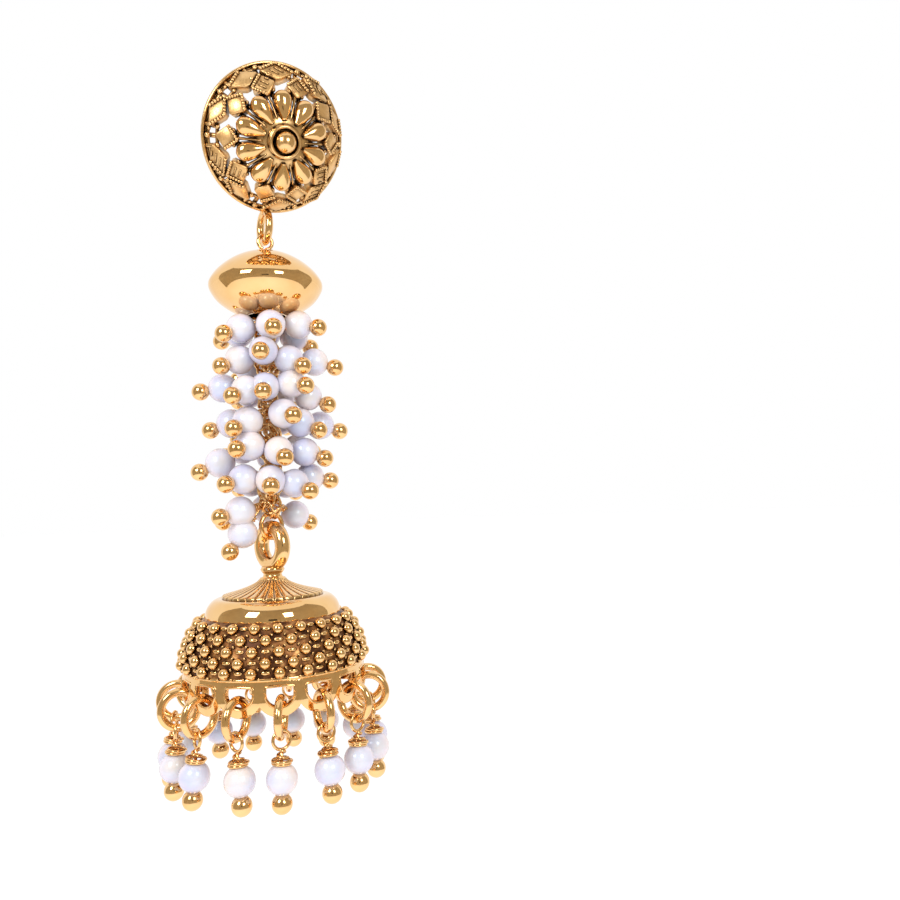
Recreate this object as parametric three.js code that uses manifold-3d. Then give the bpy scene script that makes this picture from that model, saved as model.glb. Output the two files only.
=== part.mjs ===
// One jhumka earring of gold-plated brass with imitation pearls, hanging from its ear post.
// Millimetres, +Z up, the front of the stud towards -Y. The origin is the middle of the stud's
// back, where the post goes into the ear lobe.
import * as THREE from "three";
import { mergeVertices } from "three/addons/utils/BufferGeometryUtils.js";
import Module from "manifold-3d";

const wasm = await Module();
wasm.setup();
const { Manifold } = wasm;

// ---------- driving dimensions ----------
const DROOP = 26; // degrees that the stud leans forward under the weight it carries
const HANG_Y = 3.8; // the plumb line of everything below the stud, behind the stud's middle
const FACING = -107; // azimuth, in degrees, that the pins of the pearl cluster are counted from
const GAP = 0.07; // clearance where one loose piece hangs in another

const STUD = {
  radius: 7.7, rim: 0.55, rimHeight: 0.5, height: 4.1, shell: 0.75, petals: 10, firstPetal: 96,
  ball: 1.1, cup: 1.7, cupWire: 0.3,
};
const STUD_LOOP = { outer: 2.08, wire: 0.43, z: -8.53 };
const FLOWER = {
  petalR: 3.3, petalLength: 3.1, petalWidth: 1.64, petalThick: 1.2, innerR: 5.7, innerTile: 1.75,
  outerR: 6.75, outerTile: [1.1, 2.1], tileThick: 1.1, starR: 5.35, starTip: 1.15, starWaist: 0.5,
};
const POST = { radius: 0.45, length: 10.5, pad: 2.2, padFrom: 2.3, padTo: 2.8 };
const EYE = { radius: 0.79, wire: 0.21 };
const BEAD = { z: -15.2, wall: 0.35, topHole: 0.45 };
const CHAIN = { radius: 0.5, top: -19.2, bottom: -40.05, fit: 0.15 };
const PEARL = { radius: 1.52, ball: 0.92, ballReach: 2.35, pin: 0.16 };
const TIER = {
  first: -20.2, pitch: 3.35, reach: 3.75, dip: 17, dipSpread: 7, hub: 1.0, hubHeight: 0.7,
};
const LINK = { radius: 1.35, wire: 0.25 };
const TOP_RING = { outer: 2.8, wire: 0.82, z: -43.9, azimuth: -73 };
const BAND = { outer: 9.7, thick: 0.55, top: -56.4 };
const WINDOW = {
  count: 15, width: 2.7, top: -57.1, bottom: -59.05, strip: 1.0, first: -104.5,
};
const FRINGE_RING = { outer: 2.2, wire: 0.41, r: 10.2, z: -59.85 };
const DROP = {
  loop: 0.88, wire: 0.17, neck: 0.26, r: 10.5, pearlZ: -65.5, ballZ: -67.75, ball: 1.0, swing: 3,
  cap: 1.05, capTop: -63.5, capThick: 0.5, turn: 5,
};

const SLIVER = 0.006; // details finer than this, left where solids cross, are smoothed away
const DEG = Math.PI / 180;
const PLUMB_LINE = new THREE.Vector3(0, HANG_Y, 0);

// ---------- materials ----------
const metal = (color, roughness) => new THREE.MeshStandardMaterial({ color, roughness, metalness: 1 });
const GOLD = metal(0xd9a05b, 0.22);
const BRIGHT_GOLD = metal(0xe0a860, 0.12);
const ANTIQUE_GOLD = metal(0xb98546, 0.38);
const PEARL_WHITE = new THREE.MeshStandardMaterial({ color: 0xf3eef0, roughness: 0.25, metalness: 0 });

// ---------- solids ----------
function solidOf(geometry) {
  const bare = geometry.index ? geometry.toNonIndexed() : geometry.clone();
  bare.deleteAttribute("normal");
  bare.deleteAttribute("uv");
  const merged = mergeVertices(bare, 1e-5);
  const indices = Array.from(merged.index.array);
  const triangles = [];
  for (let i = 0; i < indices.length; i += 3) {
    const corners = indices.slice(i, i + 3);
    const flat = new Set(corners).size < 3;
    if (!flat) {
      triangles.push(...corners);
    }
  }
  const vertProperties = new Float32Array(merged.attributes.position.array);
  const triVerts = new Uint32Array(triangles);
  return new Manifold(new wasm.Mesh({ numProp: 3, vertProperties, triVerts }));
}

function meshOf(name, solid, material) {
  const { vertProperties, triVerts } = solid.simplify(SLIVER).getMesh();
  const geometry = new THREE.BufferGeometry();
  geometry.setAttribute("position", new THREE.BufferAttribute(new Float32Array(vertProperties), 3));
  geometry.setIndex(new THREE.BufferAttribute(new Uint32Array(triVerts), 1));
  geometry.computeVertexNormals();
  const mesh = new THREE.Mesh(geometry, material);
  mesh.name = name;
  return mesh;
}

const joined = (solids) => solids.reduce((whole, solid) => whole.add(solid));
const at = (geometry, matrix) => solidOf(geometry.clone().applyMatrix4(matrix));
const moved = (x, y, z) => new THREE.Matrix4().makeTranslation(x, y, z);
const ball = (radius, centre, detail) =>
  at(new THREE.IcosahedronGeometry(radius, detail), moved(centre.x, centre.y, centre.z));

// A matrix that carries local Z to a direction and the local origin to a point.
function along(direction, origin) {
  const turn = new THREE.Quaternion().setFromUnitVectors(new THREE.Vector3(0, 0, 1), direction);
  return new THREE.Matrix4().compose(origin, turn, new THREE.Vector3(1, 1, 1));
}

function rod(radius, from, to, sides) {
  const span = new THREE.Vector3().subVectors(to, from);
  const geometry = new THREE.CylinderGeometry(radius, radius, span.length(), sides);
  geometry.rotateX(90 * DEG);
  const middle = new THREE.Vector3().addVectors(from, to).multiplyScalar(0.5);
  return at(geometry, along(span.normalize(), middle));
}

// A closed wire ring standing in the vertical plane that has the given azimuth.
function uprightRing(radius, wire, centre, azimuth, sides, steps) {
  const geometry = new THREE.TorusGeometry(radius, wire, sides, steps);
  geometry.rotateX(90 * DEG);
  geometry.rotateZ(azimuth * DEG);
  return at(geometry, moved(centre.x, centre.y, centre.z));
}

// A closed outline of [radius, height] rows turned about Z, whichever way round it is listed.
function turned(rows, segments) {
  const outline = rows.map(([r, z]) => new THREE.Vector2(r, z));
  if (THREE.ShapeUtils.area(outline) < 0) outline.reverse();
  const geometry = new THREE.LatheGeometry([...outline, outline[0]], segments);
  geometry.rotateX(90 * DEG);
  return solidOf(geometry);
}

// A ball threaded on a wire, as outline rows along it: radius and distance.
function beadRows(radius, distance, angles) {
  return angles.map((angle) => {
    const across = radius * Math.sin(angle * DEG);
    return [across, distance - radius * Math.cos(angle * DEG)];
  });
}

// The row where a pearl at a distance meets a smaller ball that is pressed up against it.
function seamRow(radius, distance, ballRadius, apart) {
  const past = (apart ** 2 + radius ** 2 - ballRadius ** 2) / (2 * apart);
  return [Math.sqrt(radius ** 2 - past ** 2), distance + past];
}

function polar(r, azimuth, z) {
  const angle = azimuth * DEG;
  return new THREE.Vector3(r * Math.cos(angle), r * Math.sin(angle), z);
}

// ---------- stud: an openwork cast dome with a ten-petalled flower ----------
// Built flat, with its front towards +Z, then leant over by the droop.
const STUD_PLACE = new THREE.Matrix4().makeRotationX((90 + DROOP) * DEG);
const CAP_RADIUS = STUD.radius - STUD.rim * 0.5;
const CAP_RISE = STUD.height - STUD.rimHeight;
const SPHERE = (CAP_RADIUS ** 2 + CAP_RISE ** 2) / (2 * CAP_RISE);
const studTop = (r) => STUD.height - SPHERE + Math.sqrt(SPHERE ** 2 - r ** 2);

function studShell() {
  const steps = [0, 1, 2, 3, 4].map((step) => (CAP_RADIUS * step) / 4);
  const outer = steps.map((r) => [r, studTop(r)]);
  const inner = steps.map((r) => [r * (1 - STUD.shell / CAP_RADIUS), studTop(r) - STUD.shell]);
  inner[inner.length - 1][1] = 0;
  const rim = [[STUD.radius, STUD.rimHeight * 0.8], [STUD.radius, 0]];
  return turned([...outer, ...rim, ...inner.reverse()], 20);
}

// A matrix that lays a shape on the dome, its local X pointing outward from the middle.
function onStud(r, azimuth, lift) {
  const slope = Math.asin(r / SPHERE);
  return new THREE.Matrix4()
    .makeRotationZ(azimuth * DEG)
    .multiply(moved(r, 0, studTop(r) + lift))
    .multiply(new THREE.Matrix4().makeRotationY(slope));
}

function starOpening(azimuth) {
  const shape = new THREE.Shape();
  for (let corner = 0; corner < 8; corner += 1) {
    const reach = corner % 2 ? FLOWER.starWaist : FLOWER.starTip;
    const point = polar(reach, corner * 45, 0);
    if (corner) {
      shape.lineTo(point.x, point.y);
    } else {
      shape.moveTo(point.x, point.y);
    }
  }
  const depth = 6;
  const geometry = new THREE.ExtrudeGeometry(shape, { depth, bevelEnabled: false });
  return at(geometry, onStud(FLOWER.starR, azimuth, -depth / 2));
}

function petal(azimuth) {
  const geometry = new THREE.SphereGeometry(0.5, 6, 4);
  geometry.scale(FLOWER.petalLength, FLOWER.petalWidth, FLOWER.petalThick);
  return at(geometry, onStud(FLOWER.petalR, azimuth, 0.1));
}

function tile(r, azimuth, length, width) {
  const geometry = new THREE.BoxGeometry(1, 1, FLOWER.tileThick);
  geometry.rotateZ(45 * DEG);
  geometry.scale(length, width, 1);
  return at(geometry, onStud(r, azimuth, 0.1));
}

function studFlower() {
  const parts = [ball(STUD.ball, new THREE.Vector3(0, 0, STUD.height + 0.35), 1)];
  parts.push(at(new THREE.TorusGeometry(STUD.cup, STUD.cupWire, 5, 12), moved(0, 0, STUD.height + 0.1)));
  for (let index = 0; index < STUD.petals; index += 1) {
    const azimuth = STUD.firstPetal + (index * 360) / STUD.petals;
    const between = azimuth + 180 / STUD.petals;
    parts.push(petal(azimuth));
    parts.push(tile(FLOWER.innerR, between, FLOWER.innerTile, FLOWER.innerTile));
    parts.push(tile(FLOWER.outerR, azimuth, ...FLOWER.outerTile));
  }
  return joined(parts);
}

function studDome() {
  const openings = [];
  for (let index = 0; index < STUD.petals; index += 1) {
    openings.push(starOpening(STUD.firstPetal + (index * 360) / STUD.petals));
  }
  const below = at(new THREE.BoxGeometry(30, 30, 10), moved(0, 0, -5));
  const flat = studShell().subtract(joined(openings)).add(studFlower()).subtract(below);
  const leant = flat.transform(STUD_PLACE.elements);
  const radius = STUD_LOOP.outer - STUD_LOOP.wire;
  const centre = new THREE.Vector3(0, HANG_Y, STUD_LOOP.z);
  return leant.add(uprightRing(radius, STUD_LOOP.wire, centre, 90, 8, 16));
}

// The plain ear post stands on a round pad, up inside the hollow behind the flower.
function earPost() {
  const outline = [
    [0, POST.padTo],
    [POST.pad, POST.padTo],
    [POST.pad, POST.padFrom],
    [POST.radius, POST.padFrom],
    [POST.radius, -POST.length],
    [0, -POST.length],
  ];
  return turned(outline, 16).transform(STUD_PLACE.elements);
}

// ---------- drop: eye pin, saucer bead, chain and pearl cluster ----------
// The pin is one wire: an upper eye, a straight shank through the bead and a lower eye.
function eyePin() {
  const top = STUD_LOOP.z - STUD_LOOP.outer + 2 * STUD_LOOP.wire + GAP + EYE.wire - EYE.radius;
  const bottom = CHAIN.top + EYE.radius + EYE.wire + GAP;
  const plumb = (z) => new THREE.Vector3(0, 0, z);
  const upper = uprightRing(EYE.radius, EYE.wire, plumb(top), 0, 6, 12);
  const lower = uprightRing(EYE.radius, EYE.wire, plumb(bottom), 0, 6, 12);
  const shank = rod(EYE.wire, plumb(top - EYE.radius), plumb(bottom + EYE.radius), 6);
  return joined([upper, shank, lower]);
}

// A hollow saucer with a rounded edge, open below. Each row is radius and height over the edge.
const BEAD_OUTLINE = [
  [1.9, 3.62], [3.1, 3.15], [4.4, 2.35], [5.6, 1.3], [6.2, 0],
  [5.9, -0.9], [5.0, -2.0], [3.6, -2.95], [2.3, -3.4],
];

function saucerBead() {
  const outer = BEAD_OUTLINE.map(([r, z]) => [r, BEAD.z + z]);
  const inner = BEAD_OUTLINE.slice(0, -1).map(([r, z]) => {
    const shrink = 1 - BEAD.wall / Math.hypot(r, z);
    return [r * shrink, BEAD.z + z * shrink];
  });
  const lip = [2.3 - BEAD.wall, BEAD.z - 3.3];
  const crown = [BEAD.topHole, BEAD.z + 3.85];
  const throat = [BEAD.topHole, BEAD.z + 3.4];
  return turned([crown, ...outer, lip, ...inner.reverse(), throat], 24);
}

// Rows of the cluster, top to bottom: where its pins point, in degrees from the facing side, and
// how far past the usual reach single long pins stand out.
const TIERS = [
  { pins: [-52, 6, 66, 120, 180, 240], long: [0, 0, 0, 0, 0, 0] },
  { pins: [-58, -7, 40, 86, 145, 215], long: [0, 0, 0, 1.5, 0, 0.3] },
  { pins: [-84, -38, -6, 40, 78, 150, 215], long: [1.2, 0.3, -0.3, 0, 1.0, 0, 0] },
  { pins: [-100, -40, 24, 64, 102, 160, 215], long: [0.6, 0, 0, 0.2, 2.2, 0, 0.6] },
  { pins: [-86, -34, 15, 72, 125, 180, 235], long: [2.0, 0, 0, 0.4, 0, 0, 0] },
  { pins: [-50, 0, 46, 96, 150, 215], long: [0, -0.2, 0, 0.6, 0, 0.2] },
  { pins: [-62, 130, 190, 245], long: [0, 0, 0, 0] },
];
const LAST_PIN = { azimuth: -66, dip: 52, reach: 5.4, rise: 1.0 };

// The pins of a tier don't all hang alike: some are lifted by their neighbours.
const pinDip = (tier, pin) => TIER.dip + TIER.dipSpread * Math.sin(2.4 * pin + 1.9 * tier + 0.6);

// A head pin, turned in one piece with its pearl and the gold ball on its tip.
function pinned(root, azimuth, dip, reach) {
  const tip = reach + PEARL.ballReach;
  const outline = [
    [0, TIER.hub * 0.8],
    [PEARL.pin, TIER.hub * 0.8],
    [PEARL.pin, reach - Math.sqrt(PEARL.radius ** 2 - PEARL.pin ** 2)],
    ...beadRows(PEARL.radius, reach, [45, 90, 135]),
    seamRow(PEARL.radius, reach, PEARL.ball, PEARL.ballReach),
    ...beadRows(PEARL.ball, tip, [75, 125]),
    [0, tip + PEARL.ball],
  ];
  const direction = polar(Math.cos(dip * DEG), azimuth, -Math.sin(dip * DEG));
  return turned(outline, 6).transform(along(direction, root).elements);
}

function pearlTier(tier, index) {
  const pearlsZ = TIER.first - index * TIER.pitch;
  const root = new THREE.Vector3(0, 0, pearlsZ + TIER.reach * Math.tan(TIER.dip * DEG));
  const bore = CHAIN.radius + CHAIN.fit;
  const half = TIER.hubHeight / 2;
  const collar = [[TIER.hub, -half], [TIER.hub, half], [bore, half], [bore, -half]];
  const hub = turned(collar, 12).translate([0, 0, root.z]);
  const pins = tier.pins.map((azimuth, pin) =>
    pinned(root, FACING + azimuth, pinDip(index, pin), TIER.reach + tier.long[pin]));
  if (index === TIERS.length - 1) {
    const hook = root.clone().setZ(root.z + LAST_PIN.rise);
    pins.push(pinned(hook, FACING + LAST_PIN.azimuth, LAST_PIN.dip, LAST_PIN.reach));
  }
  return joined([hub, ...pins]);
}

const clusterChain = () =>
  rod(CHAIN.radius, new THREE.Vector3(0, 0, CHAIN.bottom), new THREE.Vector3(0, 0, CHAIN.top), 8);

// The last link hangs from the chain and holds the ring of the jhumka on its lowest point.
const RING_RADIUS = TOP_RING.outer - TOP_RING.wire;
const LINK_Z = TOP_RING.z + RING_RADIUS - TOP_RING.wire - GAP - LINK.wire + LINK.radius;
function endLink() {
  const centre = new THREE.Vector3(0, 0, LINK_Z);
  return uprightRing(LINK.radius, LINK.wire, centre, TOP_RING.azimuth + 90, 6, 14);
}

// ---------- jhumka: bell, with its soldered stem and ring ----------
const BELL_OUTER = [
  [1.2, -46.2], [1.1, -46.9], [1.5, -47.4], [3.2, -48.4], [5.1, -49.2], [6.3, -49.5],
  [7.0, -50.4], [7.2, -51.1], [8.4, -52.3], [9.25, -54.0], [BAND.outer, BAND.top],
];
const BELL_INNER = [
  [0, -49.6], [4.6, -50.1], [6.3, -50.9], [7.7, -52.6], [8.6, -54.4],
  [BAND.outer - BAND.thick, WINDOW.top],
];
const WINDOW_PITCH = 360 / WINDOW.count;
const ARCH = WINDOW.width / 2;
const ARCH_Z = WINDOW.bottom + ARCH;
const SCALLOP = ARCH + WINDOW.strip;

// A flat shape, drawn as across and up, pushed outward through the band at an azimuth.
function throughBand(shape, azimuth) {
  const depth = 4;
  const geometry = new THREE.ExtrudeGeometry(shape, { depth, bevelEnabled: false, curveSegments: 4 });
  geometry.rotateX(90 * DEG);
  geometry.rotateZ(90 * DEG);
  const out = moved(BAND.outer - 2.5, 0, 0);
  return at(geometry, new THREE.Matrix4().makeRotationZ(azimuth * DEG).multiply(out));
}

function windowShape() {
  const shape = new THREE.Shape();
  shape.moveTo(ARCH, WINDOW.top);
  shape.lineTo(-ARCH, WINDOW.top);
  shape.absarc(0, ARCH_Z, ARCH, Math.PI, 2 * Math.PI, false);
  return shape;
}

// The notch between two scallops: their two arcs meet above it.
function notchShape() {
  const half = BAND.outer * Math.sin((WINDOW_PITCH / 2) * DEG);
  const meet = Math.acos(half / SCALLOP);
  const shape = new THREE.Shape();
  shape.absarc(-half, ARCH_Z, SCALLOP, -Math.PI / 2, -meet, false);
  shape.absarc(half, ARCH_Z, SCALLOP, -Math.PI + meet, -Math.PI / 2, false);
  shape.lineTo(half, ARCH_Z - SCALLOP - 1);
  shape.lineTo(-half, ARCH_Z - SCALLOP - 1);
  return shape;
}

function jhumkaBell() {
  const foot = ARCH_Z - SCALLOP;
  const outline = [
    [0, BELL_OUTER[0][1]],
    ...BELL_OUTER,
    [BAND.outer, foot],
    [BAND.outer - BAND.thick, foot],
    ...BELL_INNER.toReversed(),
  ];
  let bell = turned(outline, 30);
  for (let index = 0; index < WINDOW.count; index += 1) {
    const azimuth = WINDOW.first + index * WINDOW_PITCH;
    bell = bell.subtract(throughBand(windowShape(), azimuth));
    bell = bell.subtract(throughBand(notchShape(), azimuth + WINDOW_PITCH / 2));
  }
  const centre = new THREE.Vector3(0, 0, TOP_RING.z);
  return bell.add(uprightRing(RING_RADIUS, TOP_RING.wire, centre, TOP_RING.azimuth, 8, 18));
}

// ---------- fringe: a jump ring in each window, with a pearl drop in each ring ----------
const fringeAzimuth = (index) => WINDOW.first + index * WINDOW_PITCH;

function fringeRing(index) {
  const radius = FRINGE_RING.outer - FRINGE_RING.wire;
  const azimuth = fringeAzimuth(index);
  const centre = polar(FRINGE_RING.r, azimuth, FRINGE_RING.z);
  return uprightRing(radius, FRINGE_RING.wire, centre, azimuth, 5, 10);
}

// Each drop is built at the middle, hung from its own point, swung a little and put in its place.
function pearlDrop(index) {
  const wireBottom = FRINGE_RING.z - FRINGE_RING.outer + 2 * FRINGE_RING.wire;
  const loopTop = wireBottom + GAP + DROP.wire;
  const loopZ = loopTop - DROP.loop;
  const neckTop = DROP.loop - loopZ - DROP.wire / 2;
  const plumb = (z) => new THREE.Vector3(0, 0, z - loopTop);
  const azimuth = fringeAzimuth(index);
  const rows = [
    [0, neckTop],
    [DROP.neck, neckTop],
    [DROP.neck, -DROP.capTop],
    [DROP.cap, -DROP.capTop],
    [DROP.cap, DROP.capThick - DROP.capTop],
    ...beadRows(PEARL.radius, -DROP.pearlZ, [50, 90, 130]),
    seamRow(PEARL.radius, -DROP.pearlZ, DROP.ball, DROP.pearlZ - DROP.ballZ),
    ...beadRows(DROP.ball, -DROP.ballZ, [75, 125]),
    [0, DROP.ball - DROP.ballZ],
  ];
  const drop = joined([
    uprightRing(DROP.loop, DROP.wire, plumb(loopZ), 90, 4, 8),
    turned(rows.map(([r, depth]) => [r, -depth - loopTop]), 7).rotate([0, 0, DROP.turn]),
  ]);
  const hook = polar(DROP.r, azimuth, loopTop);
  const lean = new THREE.Matrix4().makeRotationY(-DROP.swing * DEG);
  const place = moved(hook.x, hook.y, hook.z)
    .multiply(new THREE.Matrix4().makeRotationZ(azimuth * DEG))
    .multiply(lean);
  return drop.transform(place.elements);
}

// ---------- assembly ----------
const earring = new THREE.Group();
const stud = new THREE.Group();
const drop = new THREE.Group();
const jhumka = new THREE.Group();
drop.position.copy(PLUMB_LINE);
jhumka.position.copy(PLUMB_LINE);
earring.add(stud, drop, jhumka);

stud.add(meshOf("stud_dome", studDome(), ANTIQUE_GOLD));
stud.add(meshOf("ear_post", earPost(), GOLD));
drop.add(meshOf("eye_pin", eyePin(), GOLD));
drop.add(meshOf("saucer_bead", saucerBead(), BRIGHT_GOLD));
drop.add(meshOf("cluster_chain", clusterChain(), GOLD));
TIERS.forEach((tier, index) => {
  drop.add(meshOf(`pearl_tier_${index + 1}`, pearlTier(tier, index), PEARL_WHITE));
});
drop.add(meshOf("end_link", endLink(), GOLD));
jhumka.add(meshOf("jhumka_bell", jhumkaBell(), ANTIQUE_GOLD));
for (let index = 0; index < WINDOW.count; index += 1) {
  const number = String(index + 1).padStart(2, "0");
  jhumka.add(meshOf(`fringe_ring_${number}`, fringeRing(index), GOLD));
  jhumka.add(meshOf(`pearl_drop_${number}`, pearlDrop(index), PEARL_WHITE));
}

export default earring;
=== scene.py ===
"""A gold-plated jhumka earring with pearls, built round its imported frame. Lengths here are in mm."""
import math

import bpy
import numpy as np
from mathutils import Matrix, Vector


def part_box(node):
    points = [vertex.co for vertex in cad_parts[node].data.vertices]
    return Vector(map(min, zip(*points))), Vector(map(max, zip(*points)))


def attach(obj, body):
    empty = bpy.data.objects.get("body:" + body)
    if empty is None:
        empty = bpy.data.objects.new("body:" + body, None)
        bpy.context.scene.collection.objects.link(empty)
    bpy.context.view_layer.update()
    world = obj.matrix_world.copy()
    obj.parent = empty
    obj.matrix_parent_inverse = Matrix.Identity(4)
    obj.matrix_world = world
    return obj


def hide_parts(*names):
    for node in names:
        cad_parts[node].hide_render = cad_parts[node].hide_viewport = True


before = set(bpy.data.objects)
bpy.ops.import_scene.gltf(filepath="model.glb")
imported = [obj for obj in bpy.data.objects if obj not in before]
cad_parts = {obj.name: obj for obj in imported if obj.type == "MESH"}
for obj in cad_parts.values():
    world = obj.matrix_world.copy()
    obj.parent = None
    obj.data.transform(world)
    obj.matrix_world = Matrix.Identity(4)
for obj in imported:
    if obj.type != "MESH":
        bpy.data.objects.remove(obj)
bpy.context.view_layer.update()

MM = 0.001
TAU = 2 * math.pi
UP = np.array([0.0, 0.0, 1.0])


def corners(node):
    """The lowest and highest corners of a CAD node, in mm."""
    low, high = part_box(node)
    return np.array(low) / MM, np.array(high) / MM


def centre(node):
    low, high = corners(node)
    return (low + high) / 2


# ---------------------------------------------------------------- places taken from the frame
HANG = centre("saucer_bead") * [1, 1, 0]  # the plumb line that the drop hangs on
BEAD_TOP = corners("saucer_bead")[1][2]
BELL_FOOT = corners("jhumka_bell")[0][2]
RING_TOP = corners("jhumka_bell")[1][2]
CHAIN_LOW, CHAIN_HIGH = (corners("cluster_chain")[side][2] for side in (0, 1))
LINK_CENTRE = centre("end_link")
STUD_LOW = corners("stud_dome")[0][2]
EYE_TOP = corners("eye_pin")[1][2]
EYE_LOW = corners("eye_pin")[0][2]

DROOP = math.radians(26)  # how far the stud leans forward
FACING = -107  # azimuth that the cluster's pins are counted from, as in the CAD
RINGS = 15  # fringe rings, windows and drops round the bell
FIRST_RING = -104.5  # azimuth of the first of them
RING_AZIMUTH = -73  # azimuth that the plane of the bell's big ring runs along


# ---------------------------------------------------------------- mesh building
class Shape:
    """Collects vertices and faces, in mm, and makes one mesh object of them, in metres."""

    def __init__(self):
        self.parts = []
        self.faces = []
        self.count = 0

    def add(self, verts, faces, matrix=None, origin=(0, 0, 0)):
        points = np.asarray(verts, float)
        if matrix is not None:
            points = points @ np.asarray(matrix, float).T
        self.parts.append(points + np.asarray(origin, float))
        start = self.count
        self.faces.extend(tuple(start + index for index in face) for face in faces)
        self.count += len(points)

    def make(self, name, material, matrix=None):
        points = np.concatenate(self.parts)
        if matrix is not None:
            points = points @ np.asarray(matrix, float).T
        mesh = bpy.data.meshes.new(name)
        mesh.from_pydata((points * MM).tolist(), [], self.faces)
        mesh.materials.append(material)
        mesh.shade_smooth()
        thing = bpy.data.objects.new(name, mesh)
        bpy.context.scene.collection.objects.link(thing)
        return thing


def polar(radius, azimuth, z=0.0):
    angle = math.radians(azimuth)
    return np.array([radius * math.cos(angle), radius * math.sin(angle), z])


def turn_z(azimuth):
    angle = math.radians(azimuth)
    c, s = math.cos(angle), math.sin(angle)
    return np.array([[c, -s, 0], [s, c, 0], [0, 0, 1]])


def turn_y(angle):
    c, s = math.cos(angle), math.sin(angle)
    return np.array([[c, 0, s], [0, 1, 0], [-s, 0, c]])


def turn_x(angle):
    c, s = math.cos(angle), math.sin(angle)
    return np.array([[1, 0, 0], [0, c, -s], [0, s, c]])


def facing(direction, hint=UP):
    """A matrix whose third column is the direction."""
    z = np.asarray(direction, float) / np.linalg.norm(direction)
    if abs(z @ hint) > 0.95:
        hint = np.array([1.0, 0.0, 0.0])
    x = np.cross(hint, z)
    x /= np.linalg.norm(x)
    return np.column_stack([x, np.cross(z, x), z])


def smooth_line(rows, count):
    """Points evenly spread on a Catmull-Rom curve through the rows."""
    rows = np.asarray(rows, float)
    padded = np.vstack([2 * rows[0] - rows[1], rows, 2 * rows[-1] - rows[-2]])
    points = []
    for place in np.linspace(0, len(rows) - 1, count):
        index = min(int(place), len(rows) - 2)
        t = place - index
        a, b, c, d = padded[index:index + 4]
        points.append(0.5 * (2 * b + (c - a) * t + (2 * a - 5 * b + 4 * c - d) * t * t
                             + (3 * b - a - 3 * c + d) * t ** 3))
    return np.array(points)


def lathe(rows, segments=48, closed=False):
    """Turns rows of radius and height about Z. A row on the axis becomes one point."""
    verts = []
    faces = []
    rings = []
    angles = np.linspace(0, TAU, segments, endpoint=False)
    for radius, height in rows:
        start = len(verts)
        if radius < 1e-6:
            verts.append((0, 0, height))
            rings.append([start] * segments)
        else:
            verts.extend((radius * math.cos(a), radius * math.sin(a), height) for a in angles)
            rings.append([start + step for step in range(segments)])
    pairs = list(zip(rings, rings[1:]))
    if closed:
        pairs.append((rings[-1], rings[0]))
    for low, high in pairs:
        for step in range(segments):
            after = (step + 1) % segments
            face = []
            for index in (low[step], low[after], high[after], high[step]):
                if index not in face:
                    face.append(index)
            faces.append(face)
    return np.array(verts, float), faces


def tube(path, radius, sides=10, closed=False):
    """A round wire along a path. An open wire is closed by a flat face at each end."""
    path = np.asarray(path, float)
    count = len(path)
    radii = np.broadcast_to(np.asarray(radius, float), (count,))
    if closed:
        tangents = np.roll(path, -1, 0) - np.roll(path, 1, 0)
    else:
        tangents = np.gradient(path, axis=0)
    tangents /= np.linalg.norm(tangents, axis=1)[:, None]
    side = facing(tangents[0])[:, 0]
    verts = []
    for point, tangent, size in zip(path, tangents, radii):
        side = side - tangent * (side @ tangent)
        side /= np.linalg.norm(side)
        other = np.cross(tangent, side)
        for step in range(sides):
            angle = TAU * step / sides
            verts.append(point + size * (math.cos(angle) * side + math.sin(angle) * other))
    faces = []
    for ring in range(count if closed else count - 1):
        following = (ring + 1) % count
        for step in range(sides):
            after = (step + 1) % sides
            faces.append((ring * sides + step, ring * sides + after,
                          following * sides + after, following * sides + step))
    if not closed:
        faces.append(tuple(range(sides))[::-1])
        faces.append(tuple((count - 1) * sides + step for step in range(sides)))
    return np.array(verts), faces


def circle(radius, count, start=0.0, sweep=TAU, pitch=0.0):
    """Points round a circle in the XY plane, climbing by a pitch for each full turn."""
    closed = abs(abs(sweep) - TAU) < 1e-9 and pitch == 0
    angles = start + np.linspace(0, sweep, count, endpoint=not closed)
    climb = pitch * (angles - start) / TAU
    return np.column_stack([radius * np.cos(angles), radius * np.sin(angles), climb])


def ring(radius, wire, steps=48, sides=14):
    """A wire ring in the XY plane."""
    return tube(circle(radius, steps), wire, sides, closed=True)


def ball(radius, segments=32, rings=16):
    rows = [(radius * math.sin(math.pi * step / rings), -radius * math.cos(math.pi * step / rings))
            for step in range(rings + 1)]
    rows[0] = (0, -radius)
    rows[-1] = (0, radius)
    return lathe(rows, segments)


UPRIGHT = turn_x(math.pi / 2)  # lays a ring of the XY plane into the XZ plane


# ---------------------------------------------------------------- materials
def nodes_of(name):
    """A new material, its node tree, its shader and its texture coordinates."""
    material = bpy.data.materials.new(name)
    material.use_nodes = True
    tree = material.node_tree
    shader = tree.nodes["Principled BSDF"]
    where = tree.nodes.new("ShaderNodeTexCoord").outputs["Object"]
    return material, tree, shader, where


def add_noise(tree, where, scale, detail, stretch=None):
    """Noise with features of about 1000 / scale mm, stretched along an axis if asked."""
    if stretch is not None:
        mapping = tree.nodes.new("ShaderNodeMapping")
        mapping.inputs["Scale"].default_value = stretch
        tree.links.new(where, mapping.inputs["Vector"])
        where = mapping.outputs["Vector"]
    noise = tree.nodes.new("ShaderNodeTexNoise")
    noise.inputs["Scale"].default_value = scale
    noise.inputs["Detail"].default_value = detail
    tree.links.new(where, noise.inputs["Vector"])
    return noise.outputs["Fac"]


def add_ramp(tree, value, stops):
    """A colour ramp through (place, colour) stops."""
    ramp = tree.nodes.new("ShaderNodeValToRGB")
    ends = ramp.color_ramp.elements
    for index, (place, colour) in enumerate(stops):
        stop = ends[index] if index < 2 else ends.new(place)
        stop.position = place
        stop.color = (*colour, 1)
    tree.links.new(value, ramp.inputs["Fac"])
    return ramp.outputs["Color"]


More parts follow.
